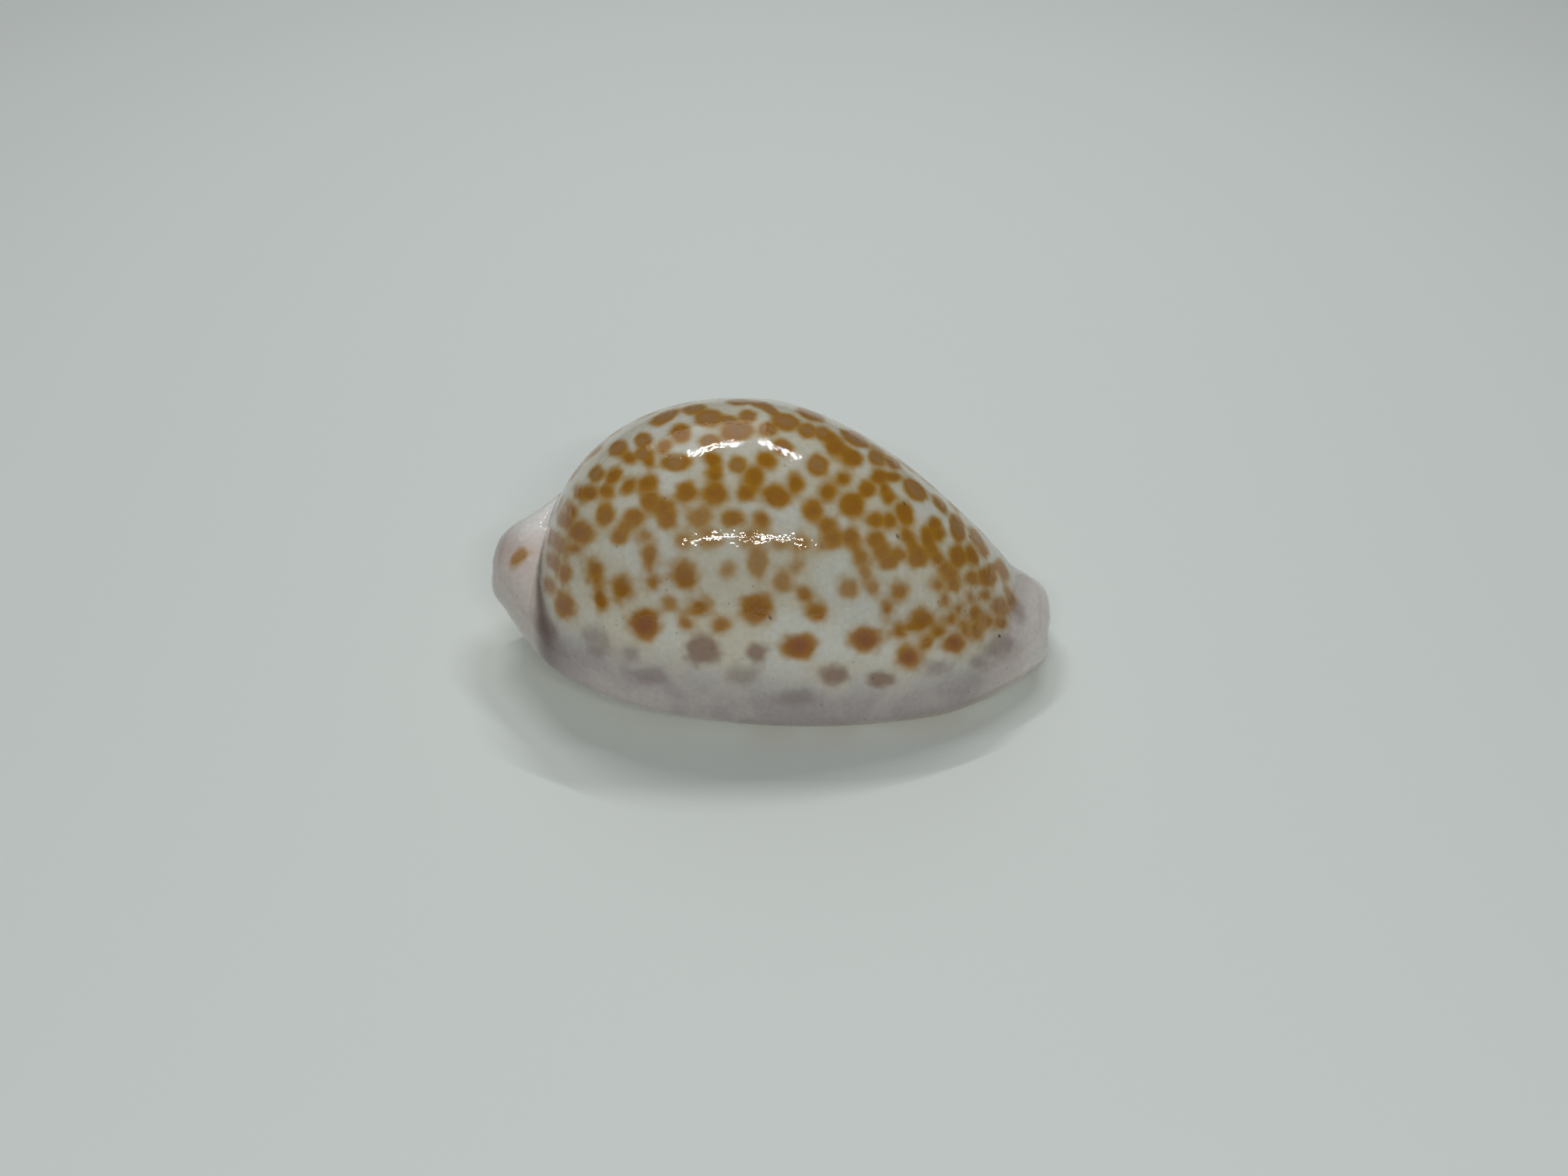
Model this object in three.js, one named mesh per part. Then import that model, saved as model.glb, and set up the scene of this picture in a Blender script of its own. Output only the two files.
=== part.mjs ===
import * as THREE from 'three';

// A small spotted cowrie shell lying on its base, in millimetres.
// +X points to the narrow front end, -Y to the outer lip, +Z up through the back.
// The shell is one grown piece. Its surface is a sphere drawn out of shape: the rows are
// cross sections along the length, and the columns go around each section, from the roof
// of the hollow down the outer lip, over the whole outside and back up the inner lip.

// Driving dimensions
const length = 15;
const height = 7.07;
const outerHalfWidth = 4.35;
const innerHalfWidth = 4.54;
const widestX = -2.1;

// The back: a hump that ends short of both ends of the shell
const humpPeakX = -0.35;
const humpReachBack = 5.58;
const humpReachFront = 7.32;
const humpRoundness = 2.1;
const humpFootRoundness = 1.8;
const humpBlend = 0.02;
const humpBlendAtBackEnd = 0.85;
const humpBlendAtFrontEnd = 0.3;

// The margin and the two blunt ends
const marginHeight = 1.2;
const marginRise = 1.49;
const marginRoundness = 2.1;
const backEndOuterHalf = 1.94;
const backEndInnerHalf = 1.76;
const frontEndOuterHalf = 1.82;
const frontEndInnerHalf = 1.08;
const backEndShift = 0.2;
const frontEndShift = 0.55;
const innerLobeShorter = 0.9;
const callusX = -6;
const callusReach = 0.9;
const callusRise = 0.5;

// The base: slightly rocked lengthways, worn to a flat where it rests
const rockCentreX = 2.6;
const rockPerMm = 0.0165;
const flatDepth = 0.33;
const flatBlend = 0.06;
const baseRoundness = 2.15;

// The mouth: a narrow slit with a toothed lip on each side
const slitHalfWidth = 0.36;
const slitMiddleY = -0.85;
const slitBackY = 0.2;
const slitFrontY = 0.55;
const slitBackHalfWidth = 0.16;
const slitFrontHalfWidth = 0.8;
const slitDepthShare = 0.58;
const outerLipRadius = 0.42;
const innerLipRadius = 0.85;
const notchDepthBack = 0.42;
const notchDepthFront = 0.5;
const notchHalfWidth = 0.6;

// The teeth of the two lips
const outerToothPitch = 0.71;
const outerToothDepthBack = 0.16;
const outerToothDepthFront = 0.34;
const innerToothDepth = 0.18;
const innerTeethPerMm = 2.0;
const toothRowHalfLength = 5.6;

// The hollow behind the slit
const wall = 0.8;
const hollowMiddleX = -0.5;
const hollowReach = 5.0;
const hollowTowardOuterLip = 1.65;
const hollowTowardInnerLip = 1.2;

// Sampling: rows along the shell and columns in each stretch of a section
const rows = 108;
const wallColumns = 5;
const lipColumns = 3;
const baseColumns = 4;
const backColumns = 20;

// A half width or height that falls from 1 at share 0 to 0 at share 1
function taper(share, fullness, bluntness) {
  const kept = 1 - Math.min(Math.abs(share), 1) ** fullness;
  return Math.max(kept, 0) ** (1 / bluntness);
}

function smoothMax(a, b, blend) {
  return 0.5 * (a + b + Math.hypot(a - b, blend));
}

function smoothStep(from, to, value) {
  const share = THREE.MathUtils.clamp((value - from) / (to - from), 0, 1);
  return share * share * (3 - 2 * share);
}

// Rows lie closer together toward both ends
function stationX(share) {
  const along = 2 * share - 1;
  return (length / 2) * (0.62 * along + 0.38 * Math.sin((along * Math.PI) / 2));
}

// The sizes of one cross section
function sectionAt(x) {
  const half = length / 2;
  const toBack = x < widestX;
  const planShare = toBack ? (widestX - x) / (widestX + half) : (x - widestX) / (half - widestX);
  const endShare = Math.abs(x) / half;
  const atBack = x < 0;
  const ending = atBack ? taper(endShare, 15, 2.2) : taper(endShare, 32, 3);
  const outerEnd = ending * (atBack ? backEndOuterHalf : frontEndOuterHalf);
  const innerEnd = ending * (atBack ? backEndInnerHalf : frontEndInnerHalf);
  const blend = 0.3 * taper(endShare, 8, 2);
  const outerPlan = outerHalfWidth * (toBack ? taper(planShare, 2.53, 1.4) : taper(planShare, 1.7, 3));
  const innerPlan = innerHalfWidth * (toBack ? taper(planShare, 1.8, 1.4) : taper(planShare, 1.7, 1.4));
  const humpShare = x < humpPeakX ? (humpPeakX - x) / humpReachBack : (x - humpPeakX) / humpReachFront;
  const hump = x < humpPeakX ? taper(humpShare, 2.38, 2.38) : taper(humpShare, 1.62, 1.4);
  const thickness = atBack ? taper(endShare, 5, 2.2) : taper(endShare, 9, 2.6);
  const rock = rockPerMm * (x - rockCentreX) ** 2 - flatDepth;
  const middleHeight = marginHeight * (0.55 + 0.45 * taper(endShare, 5, 2));
  const middleZ = rock + middleHeight;
  const up = marginRise * thickness;
  const down = middleHeight * thickness;
  const closing = taper(endShare, 12, 2);
  const slitEnd = atBack ? slitBackHalfWidth : slitFrontHalfWidth;
  const outer = smoothMax(outerPlan, outerEnd, blend) - blend / 2;
  const inner = smoothMax(innerPlan, innerEnd, blend) - blend / 2;
  const humpOuter = outer * taper(humpShare, 10, 2.5);
  const humpInner = innerHalfWidth * hump;
  const fade = Math.min(1, outer / 1.5);
  const endBlend = atBack ? humpBlendAtBackEnd : humpBlendAtFrontEnd;
  const joining = fade * THREE.MathUtils.lerp(humpBlend, endBlend, smoothStep(0.55, 0.85, endShare));
  return {
    x,
    endShare,
    hump,
    closing,
    middleZ,
    up,
    down,
    outer,
    inner,
    humpOuter,
    humpInner,
    joining,
    outerEdge: smoothMax(outer, humpOuter, joining),
    innerEdge: smoothMax(inner, humpInner, joining),
    middleY: (atBack ? backEndShift : frontEndShift) * smoothStep(0.56, 1, endShare),
    slitY: THREE.MathUtils.lerp(slitMiddleY, atBack ? slitBackY : slitFrontY, smoothStep(0.45, 1, endShare)),
    slit: closing * THREE.MathUtils.lerp(slitHalfWidth, slitEnd, smoothStep(0.68, 0.9, endShare)),
    slitTop: middleZ - down + slitDepthShare * (up + down),
  };
}

// How far a tooth stands out at x, from 0 in a groove to 1 on a crest
function toothCrest(turns) {
  return Math.abs(Math.cos(Math.PI * turns)) ** 0.8;
}

function outerTooth(x) {
  const row = 1 - smoothStep(toothRowHalfLength - 0.6, toothRowHalfLength + 0.6, Math.abs(x));
  const along = (x + toothRowHalfLength) / (2 * toothRowHalfLength);
  const depth = THREE.MathUtils.lerp(outerToothDepthBack, outerToothDepthFront, along);
  return depth * row * (toothCrest(x / outerToothPitch) - 0.5);
}

function innerTooth(x) {
  const row = 1 - smoothStep(toothRowHalfLength - 1.1, toothRowHalfLength, Math.abs(x + 0.3));
  const turns = innerTeethPerMm * x - 0.0118 * (x - 0.6) ** 3;
  return innerToothDepth * row * (toothCrest(turns) - 0.5);
}

// Height of the base at y, measured from the ground
function baseZ(section, y) {
  const fromMiddle = y - section.middleY;
  const halfWidth = fromMiddle < 0 ? section.outerEdge : section.innerEdge;
  return section.middleZ - section.down * taper(fromMiddle / halfWidth, baseRoundness, baseRoundness);
}

// The slit's wall and the hollow above it, from the roof (share 0) to the lip's edge (share 1)
function wallPoint(section, side, share) {
  const lipRadius = (side < 0 ? outerLipRadius : innerLipRadius) * section.closing;
  const edgeY = section.slitY + side * section.slit;
  const edgeZ = baseZ(section, edgeY) + lipRadius;
  const room = taper((section.x - hollowMiddleX) / hollowReach, 2, 2);
  const backZ = section.middleZ + (height - section.middleZ) * section.hump;
  const roofRise = smoothMax(room * (backZ - wall - section.slitTop), section.slit, 0.2 * section.closing);
  const reach = room * (side < 0 ? hollowTowardOuterLip : hollowTowardInnerLip);
  const hollowShare = 0.7;
  if (share < hollowShare) {
    const turn = (Math.PI * share) / hollowShare;
    const rise = (1 + Math.cos(turn)) / 2;
    const slitPart = section.slit * Math.sqrt(1 - rise * rise);
    return {
      y: section.slitY + side * (slitPart + reach * Math.sin(turn)),
      z: section.slitTop + roofRise * rise,
    };
  }
  const down = (share - hollowShare) / (1 - hollowShare);
  const tooth = (side < 0 ? outerTooth(section.x) : innerTooth(section.x)) * down;
  return {
    y: edgeY - side * tooth,
    z: THREE.MathUtils.lerp(section.slitTop, edgeZ, down),
  };
}

// The rounded lip, from its edge in the slit (share 0) to the base (share 1)
function lipPoint(section, side, share) {
  const lipRadius = (side < 0 ? outerLipRadius : innerLipRadius) * section.closing;
  const turn = (Math.PI / 2) * share;
  const tooth = side < 0 ? outerTooth(section.x) : innerTooth(section.x);
  const y = section.slitY + side * (section.slit + lipRadius * (1 - Math.cos(turn)));
  const z = baseZ(section, y) + lipRadius * (1 - Math.sin(turn));
  const reach = tooth * (1 - 0.5 * share);
  return { y: y - side * reach * Math.cos(turn), z: z - reach * Math.sin(turn) };
}

// The base beside the slit, from the lip (share 0) out to the margin (share 1)
function basePoint(section, side, share) {
  const lipRadius = (side < 0 ? outerLipRadius : innerLipRadius) * section.closing;
  const startY = section.slitY + side * (section.slit + lipRadius) - section.middleY;
  const halfWidth = side < 0 ? section.outerEdge : section.innerEdge;
  const startShare = THREE.MathUtils.clamp((side * startY) / halfWidth, -1, 1);
  const power = baseRoundness / 2;
  const startTurn = Math.acos(Math.sign(startShare) * Math.abs(startShare) ** power);
  const turn = startTurn * (1 - share);
  const out = Math.cos(turn);
  const y = side * halfWidth * Math.sign(out) * Math.abs(out) ** (1 / power);
  const tooth = side < 0 ? outerTooth(section.x) : innerTooth(section.x);
  const fade = 0.5 * (1 - smoothStep(0, side < 0 ? 0.15 : 0.3, share));
  return {
    y: section.middleY + y,
    z: section.middleZ - section.down * Math.abs(Math.sin(turn)) ** (1 / power) - tooth * fade,
  };
}

// The margin and the back, from the outer margin (share 0) over to the inner one (share 1)
function backPoint(section, share) {
  const turn = Math.PI * (1 - share);
  const across = Math.abs(Math.cos(turn));
  const above = Math.abs(Math.sin(turn));
  const outerSide = share < 0.5;
  const marginHalf = outerSide ? section.outer : section.inner;
  const humpHalf = (outerSide ? section.humpOuter : section.humpInner) + 1e-4;
  const humpHeight = (height - section.middleZ) * section.hump + 1e-4;
  // a swelling of callus on the inner side of the back end
  const nearCallus = Math.exp(-(((section.x - callusX) / callusReach) ** 2)) * smoothStep(0.45, 0.8, share);
  const up = section.up * (1 + callusRise * nearCallus) + 1e-4;
  const margin = ((across / marginHalf) ** marginRoundness
    + (above / up) ** marginRoundness) ** (-1 / marginRoundness);
  const roundness = THREE.MathUtils.lerp(humpFootRoundness, humpRoundness, smoothStep(0, 0.9, above));
  const hump = ((across / humpHalf) ** roundness + (above / humpHeight) ** roundness) ** (-1 / roundness);
  const radius = smoothMax(margin, hump, section.joining);
  return {
    y: section.middleY + radius * Math.cos(turn),
    z: section.middleZ + radius * above,
  };
}

// A point of the section at a column from 0 (roof of the hollow) round to the same roof
function sectionPoint(section, column) {
  let place = column;
  if (place < wallColumns) {
    return wallPoint(section, -1, place / wallColumns);
  }
  place -= wallColumns;
  if (place < lipColumns) {
    return lipPoint(section, -1, place / lipColumns);
  }
  place -= lipColumns;
  if (place < baseColumns) {
    return basePoint(section, -1, place / baseColumns);
  }
  place -= baseColumns;
  if (place < backColumns) {
    return backPoint(section, place / backColumns);
  }
  place -= backColumns;
  if (place < baseColumns) {
    return basePoint(section, 1, 1 - place / baseColumns);
  }
  place -= baseColumns;
  if (place < lipColumns) {
    return lipPoint(section, 1, 1 - place / lipColumns);
  }
  return wallPoint(section, 1, 1 - (place - lipColumns) / wallColumns);
}

// The canals open at both ends as a small notch in the lower edge, and at the back end the
// lobe on the inner side of the notch is the shorter one
function notchedX(section, point) {
  const atBack = section.x < 0;
  const depth = atBack ? notchDepthBack : notchDepthFront;
  const beside = Math.exp(-(((point.y - section.slitY) / notchHalfWidth) ** 2));
  const heightShare = (point.z - section.middleZ + section.down) / (section.up + section.down);
  const below = 1 - smoothStep(0.6, 1, heightShare);
  const notch = depth * beside * below * smoothStep(0.75, 1, section.endShare);
  const innerSide = atBack ? smoothStep(0.15, 1.8, point.y) : 0;
  const inward = innerLobeShorter * innerSide * smoothStep(0.72, 1, section.endShare);
  return section.x - Math.sign(section.x) * (notch + inward);
}

// Where the rocked base would dip below the ground it is worn to a flat
function restedZ(z) {
  if (z <= -flatBlend) {
    return 0;
  }
  return z >= flatBlend ? z : (z + flatBlend) ** 2 / (4 * flatBlend);
}

function shellGeometry() {
  const columns = 2 * (wallColumns + lipColumns + baseColumns) + backColumns;
  const geometry = new THREE.SphereGeometry(1, columns, rows);
  const position = geometry.attributes.position;
  for (let index = 0; index < position.count; index += 1) {
    const row = Math.floor(index / (columns + 1));
    const column = index % (columns + 1);
    const section = sectionAt(stationX(row / rows));
    if (row === 0 || row === rows) {
      position.setXYZ(index, section.x, section.middleY, restedZ(section.middleZ));
    } else {
      const point = sectionPoint(section, column % columns);
      position.setXYZ(index, notchedX(section, point), point.y, restedZ(point.z));
    }
  }
  geometry.computeBoundingBox();
  const box = geometry.boundingBox;
  geometry.translate(-(box.min.x + box.max.x) / 2, -(box.min.y + box.max.y) / 2, -box.min.z);
  geometry.computeVertexNormals();
  return geometry;
}

const cowrie = new THREE.Group();
cowrie.name = 'cowrie';

const enamel = new THREE.MeshStandardMaterial({ color: 0xe4dccd, roughness: 0.18, metalness: 0 });
const shell = new THREE.Mesh(shellGeometry(), enamel);
shell.name = 'shell';
cowrie.add(shell);

export default cowrie;
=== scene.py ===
import math
import random

import bmesh
import bpy
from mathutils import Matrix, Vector, kdtree, noise
from mathutils.bvhtree import BVHTree


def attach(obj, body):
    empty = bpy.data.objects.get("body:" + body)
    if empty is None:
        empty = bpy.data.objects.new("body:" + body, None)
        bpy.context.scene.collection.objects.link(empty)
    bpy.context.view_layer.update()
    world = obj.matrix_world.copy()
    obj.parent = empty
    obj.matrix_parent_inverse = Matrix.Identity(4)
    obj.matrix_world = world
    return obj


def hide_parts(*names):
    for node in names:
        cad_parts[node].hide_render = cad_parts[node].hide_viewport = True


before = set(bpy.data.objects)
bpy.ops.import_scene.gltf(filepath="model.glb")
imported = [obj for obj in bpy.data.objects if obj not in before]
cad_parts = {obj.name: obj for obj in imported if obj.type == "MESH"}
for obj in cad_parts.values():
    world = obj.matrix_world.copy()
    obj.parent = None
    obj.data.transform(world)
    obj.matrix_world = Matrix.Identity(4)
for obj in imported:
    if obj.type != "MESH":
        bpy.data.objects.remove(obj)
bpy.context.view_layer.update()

mm = 0.001

# the shell's form, in millimetres: +X to the front end, -Y to the outer lip
shellForm = {
    "length": 15.0, "height": 7.07, "outerHalf": 4.35, "innerHalf": 4.54, "widestX": -2.1,
    "humpPeakX": -0.35, "humpReachBack": 5.58, "humpReachFront": 7.32, "humpRound": 2.1,
    "humpFootRound": 1.8, "humpBlend": 0.02, "backBlend": 0.85, "frontBlend": 0.3,
    "callusRise": 0.5, "callusX": -6.0, "callusReach": 0.9,
    "marginHeight": 1.2, "marginRise": 1.49, "marginRound": 2.1,
    "backEndOuter": 1.94, "backEndInner": 1.76, "frontEndOuter": 1.82, "frontEndInner": 1.08,
    "backEndShift": 0.2, "frontEndShift": 0.55,
    "innerLobeShorter": 0.9,
    "rockCentreX": 2.6, "rockPerMm": 0.0165, "flatDepth": 0.33, "flatBlend": 0.06, "baseRound": 2.15,
    "slitHalf": 0.36, "slitMiddleY": -0.85, "slitBackY": 0.2, "slitFrontY": 0.55,
    "slitBackHalf": 0.16, "slitFrontHalf": 0.8, "slitDepthShare": 0.58,
    "outerLipRadius": 0.42, "innerLipRadius": 0.85,
    "notchBack": 0.42, "notchFront": 0.5, "notchHalf": 0.6,
    "outerPitch": 0.71, "outerDepthBack": 0.16, "outerDepthFront": 0.34,
    "innerDepth": 0.18, "innerPerMm": 2.0, "toothRowHalf": 5.6,
    "wall": 0.8, "hollowMiddleX": -0.5, "hollowReach": 5.0, "hollowOuter": 1.65, "hollowInner": 1.2,
    # columns add up to a multiple of four, as the sphere's first column lies a quarter round
    "rowEasing": 0.38, "planBlend": 0.3, "endHeightShare": 0.55, "hollowShare": 0.7, "hollowSoftness": 0.2,
    "rows": 380, "wallColumns": 12, "lipColumns": 10, "baseColumns": 20, "backColumns": 172,
}
# how each size falls away from its widest place: fullness, then bluntness
tapers = {
    "backEnd": (15, 2.2), "frontEnd": (32, 3), "endJoin": (8, 2),
    "outerBack": (2.53, 1.4), "outerFront": (1.7, 3), "innerBack": (1.8, 1.4), "innerFront": (1.7, 1.4),
    "humpBack": (2.38, 2.38), "humpFront": (1.62, 1.4), "humpOuter": (10, 2.5),
    "thicknessBack": (5, 2.2), "thicknessFront": (9, 2.6), "marginLift": (5, 2), "closing": (12, 2),
    "hollow": (2, 2),
}


def taper(share, fullness, bluntness):
    kept = 1 - min(abs(share), 1) ** fullness
    return max(kept, 0) ** (1 / bluntness)


def smoothMax(a, b, blend):
    return 0.5 * (a + b + math.hypot(a - b, blend))


def smoothStep(start, end, value):
    share = min(max((value - start) / (end - start), 0), 1)
    return share * share * (3 - 2 * share)


def mixed(a, b, share):
    return a + (b - a) * share


def stationX(share):
    # rows lie closer together toward both ends
    along = 2 * share - 1
    eased = shellForm["rowEasing"]
    return shellForm["length"] / 2 * ((1 - eased) * along + eased * math.sin(along * math.pi / 2))


def sectionAt(x):
    # the sizes of one cross section
    f = shellForm
    half = f["length"] / 2
    toBack = x < f["widestX"]
    planReach = half + f["widestX"] if toBack else half - f["widestX"]
    planShare = abs(x - f["widestX"]) / planReach
    endShare = abs(x) / half
    atBack = x < 0
    ending = taper(endShare, *tapers["backEnd" if atBack else "frontEnd"])
    outerEnd = ending * (f["backEndOuter"] if atBack else f["frontEndOuter"])
    innerEnd = ending * (f["backEndInner"] if atBack else f["frontEndInner"])
    blend = f["planBlend"] * taper(endShare, *tapers["endJoin"])
    outerTaper = taper(planShare, *tapers["outerBack" if toBack else "outerFront"])
    innerTaper = taper(planShare, *tapers["innerBack" if toBack else "innerFront"])
    if x < f["humpPeakX"]:
        humpShare = (f["humpPeakX"] - x) / f["humpReachBack"]
        hump = taper(humpShare, *tapers["humpBack"])
    else:
        humpShare = (x - f["humpPeakX"]) / f["humpReachFront"]
        hump = taper(humpShare, *tapers["humpFront"])
    thickness = taper(endShare, *tapers["thicknessBack" if atBack else "thicknessFront"])
    rock = f["rockPerMm"] * (x - f["rockCentreX"]) ** 2 - f["flatDepth"]
    lifted = taper(endShare, *tapers["marginLift"])
    middleHeight = f["marginHeight"] * (f["endHeightShare"] + (1 - f["endHeightShare"]) * lifted)
    middleZ = rock + middleHeight
    up = f["marginRise"] * thickness
    outer = smoothMax(f["outerHalf"] * outerTaper, outerEnd, blend) - blend / 2
    inner = smoothMax(f["innerHalf"] * innerTaper, innerEnd, blend) - blend / 2
    humpOuter = outer * taper(humpShare, *tapers["humpOuter"])
    humpInner = f["innerHalf"] * hump
    fade = min(1, outer / 1.5)
    endBlend = f["backBlend"] if atBack else f["frontBlend"]
    humpBlend = fade * mixed(f["humpBlend"], endBlend, smoothStep(0.55, 0.85, endShare))
    down = middleHeight * thickness
    closing = taper(endShare, *tapers["closing"])
    slitEnd = f["slitBackHalf"] if atBack else f["slitFrontHalf"]
    slitEndY = f["slitBackY"] if atBack else f["slitFrontY"]
    endShift = f["backEndShift"] if atBack else f["frontEndShift"]
    return {
        "x": x, "endShare": endShare, "hump": hump, "closing": closing,
        "middleZ": middleZ, "up": up, "down": down, "outer": outer, "inner": inner,
        "humpOuter": humpOuter, "humpInner": humpInner, "humpBlend": humpBlend,
        "outerEdge": smoothMax(outer, humpOuter, humpBlend),
        "innerEdge": smoothMax(inner, humpInner, humpBlend),
        "middleY": endShift * smoothStep(0.56, 1, endShare),
        "slitY": mixed(f["slitMiddleY"], slitEndY, smoothStep(0.45, 1, endShare)),
        "slit": closing * mixed(f["slitHalf"], slitEnd, smoothStep(0.68, 0.9, endShare)),
        "slitTop": middleZ - down + f["slitDepthShare"] * (up + down),
        "outerTooth": outerTooth(x), "innerTooth": innerTooth(x),
    }


def toothCrest(turns):
    # 0 in a groove, 1 on a crest
    return abs(math.cos(math.pi * turns)) ** 0.8


def outerTooth(x):
    f = shellForm
    row = 1 - smoothStep(f["toothRowHalf"] - 0.6, f["toothRowHalf"] + 0.6, abs(x))
    along = (x + f["toothRowHalf"]) / (2 * f["toothRowHalf"])
    depth = mixed(f["outerDepthBack"], f["outerDepthFront"], along)
    return depth * row * (toothCrest(x / f["outerPitch"]) - 0.5)


def innerTooth(x):
    f = shellForm
    row = 1 - smoothStep(f["toothRowHalf"] - 1.1, f["toothRowHalf"], abs(x + 0.3))
    turns = f["innerPerMm"] * x - 0.0118 * (x - 0.6) ** 3
    return f["innerDepth"] * row * (toothCrest(turns) - 0.5)


def baseZ(section, y):
    fromMiddle = y - section["middleY"]
    half = section["outerEdge"] if fromMiddle < 0 else section["innerEdge"]
    roundness = shellForm["baseRound"]
    return section["middleZ"] - section["down"] * taper(fromMiddle / half, roundness, roundness)


def lipOf(section, side):
    if side < 0:
        return shellForm["outerLipRadius"] * section["closing"], section["outerTooth"]
    return shellForm["innerLipRadius"] * section["closing"], section["innerTooth"]


def wallPoint(section, side, share):
    # from the roof of the hollow (0) down to the lip's edge (1)
    f = shellForm
    lipRadius, tooth = lipOf(section, side)
    edgeY = section["slitY"] + side * section["slit"]
    edgeZ = baseZ(section, edgeY) + lipRadius
    room = taper((section["x"] - f["hollowMiddleX"]) / f["hollowReach"], *tapers["hollow"])
    backZ = section["middleZ"] + (f["height"] - section["middleZ"]) * section["hump"]
    hollowRise = room * (backZ - f["wall"] - section["slitTop"])
    roofRise = smoothMax(hollowRise, section["slit"], f["hollowSoftness"] * section["closing"])
    reach = room * (f["hollowOuter"] if side < 0 else f["hollowInner"])
    hollowShare = f["hollowShare"]
    if share < hollowShare:
        turn = math.pi * share / hollowShare
        rise = (1 + math.cos(turn)) / 2
        out = section["slit"] * math.sqrt(1 - rise * rise) + reach * math.sin(turn)
        return section["slitY"] + side * out, section["slitTop"] + roofRise * rise
    down = (share - hollowShare) / (1 - hollowShare)
    return edgeY - side * tooth * down, mixed(section["slitTop"], edgeZ, down)


def lipPoint(section, side, share):
    # from the edge in the slit (0) out to the base (1)
    lipRadius, tooth = lipOf(section, side)
    turn = math.pi / 2 * share
    y = section["slitY"] + side * (section["slit"] + lipRadius * (1 - math.cos(turn)))
    z = baseZ(section, y) + lipRadius * (1 - math.sin(turn))
    reach = tooth * (1 - 0.5 * share)
    return y - side * reach * math.cos(turn), z - reach * math.sin(turn)


def basePoint(section, side, share):
    # from the lip (0) out to the margin (1)
    lipRadius, tooth = lipOf(section, side)
    startY = section["slitY"] + side * (section["slit"] + lipRadius) - section["middleY"]
    half = section["outerEdge"] if side < 0 else section["innerEdge"]
    startShare = min(max(side * startY / half, -1), 1)
    power = shellForm["baseRound"] / 2
    turn = math.acos(math.copysign(abs(startShare) ** power, startShare)) * (1 - share)
    out = math.cos(turn)
    y = side * half * math.copysign(abs(out) ** (1 / power), out)
    fade = 0.5 * (1 - smoothStep(0, 0.15 if side < 0 else 0.3, share))
    drop = section["down"] * abs(math.sin(turn)) ** (1 / power)
    return section["middleY"] + y, section["middleZ"] - drop - tooth * fade


def backPoint(section, share):
    # from the outer margin (0) over the back to the inner margin (1); also how far the
    # margin stands out past the hump there
    f = shellForm
    turn = math.pi * (1 - share)
    across = abs(math.cos(turn))
    above = abs(math.sin(turn))
    outerSide = share < 0.5
    marginHalf = section["outer"] if outerSide else section["inner"]
    humpHalf = (section["humpOuter"] if outerSide else section["humpInner"]) + 1e-4
    humpHeight = (f["height"] - section["middleZ"]) * section["hump"] + 1e-4
    m = f["marginRound"]
    h = mixed(f["humpFootRound"], f["humpRound"], smoothStep(0, 0.9, above))
    nearCallus = math.exp(-((section["x"] - f["callusX"]) / f["callusReach"]) ** 2)
    up = section["up"] * (1 + f["callusRise"] * nearCallus * smoothStep(0.45, 0.8, share)) + 1e-4
    margin = ((across / marginHalf) ** m + (above / up) ** m) ** (-1 / m)
    hump = ((across / humpHalf) ** h + (above / humpHeight) ** h) ** (-1 / h)
    radius = smoothMax(margin, hump, section["humpBlend"])
    return section["middleY"] + radius * math.cos(turn), section["middleZ"] + radius * above, margin - hump


def sectionPoint(section, column):
    # a column from the roof of the hollow round to the same roof, with the stretch it is in
    f = shellForm
    stretches = (
        ("wallColumns", lambda s: wallPoint(section, -1, s)),
        ("lipColumns", lambda s: lipPoint(section, -1, s)),
        ("baseColumns", lambda s: basePoint(section, -1, s)),
        ("backColumns", lambda s: backPoint(section, s)),
        ("baseColumns", lambda s: basePoint(section, 1, 1 - s)),
        ("lipColumns", lambda s: lipPoint(section, 1, 1 - s)),
        ("wallColumns", lambda s: wallPoint(section, 1, 1 - s)),
    )
    for index, (name, point) in enumerate(stretches):
        if column < f[name] or index == 6:
            share = column / f[name]
            return index, share, point(share)
        column -= f[name]


def notchedX(section, y, z):
    # the canals open at both ends as a notch, and the inner lobe of the back end is shorter
    f = shellForm
    atBack = section["x"] < 0
    depth = f["notchBack"] if atBack else f["notchFront"]
    beside = math.exp(-((y - section["slitY"]) / f["notchHalf"]) ** 2)
    heightShare = (z - section["middleZ"] + section["down"]) / (section["up"] + section["down"])
    below = 1 - smoothStep(0.6, 1, heightShare)
    notch = depth * beside * below * smoothStep(0.75, 1, section["endShare"])
    innerSide = smoothStep(0.15, 1.8, y) if atBack else 0
    inward = f["innerLobeShorter"] * innerSide * smoothStep(0.72, 1, section["endShare"])
    return section["x"] - math.copysign(notch + inward, section["x"])


def restedZ(z):
    # worn flat where the rocked base would dip below the ground
    blend = shellForm["flatBlend"]
    if z <= -blend:
        return 0
    return z if z >= blend else (z + blend) ** 2 / (4 * blend)


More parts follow.
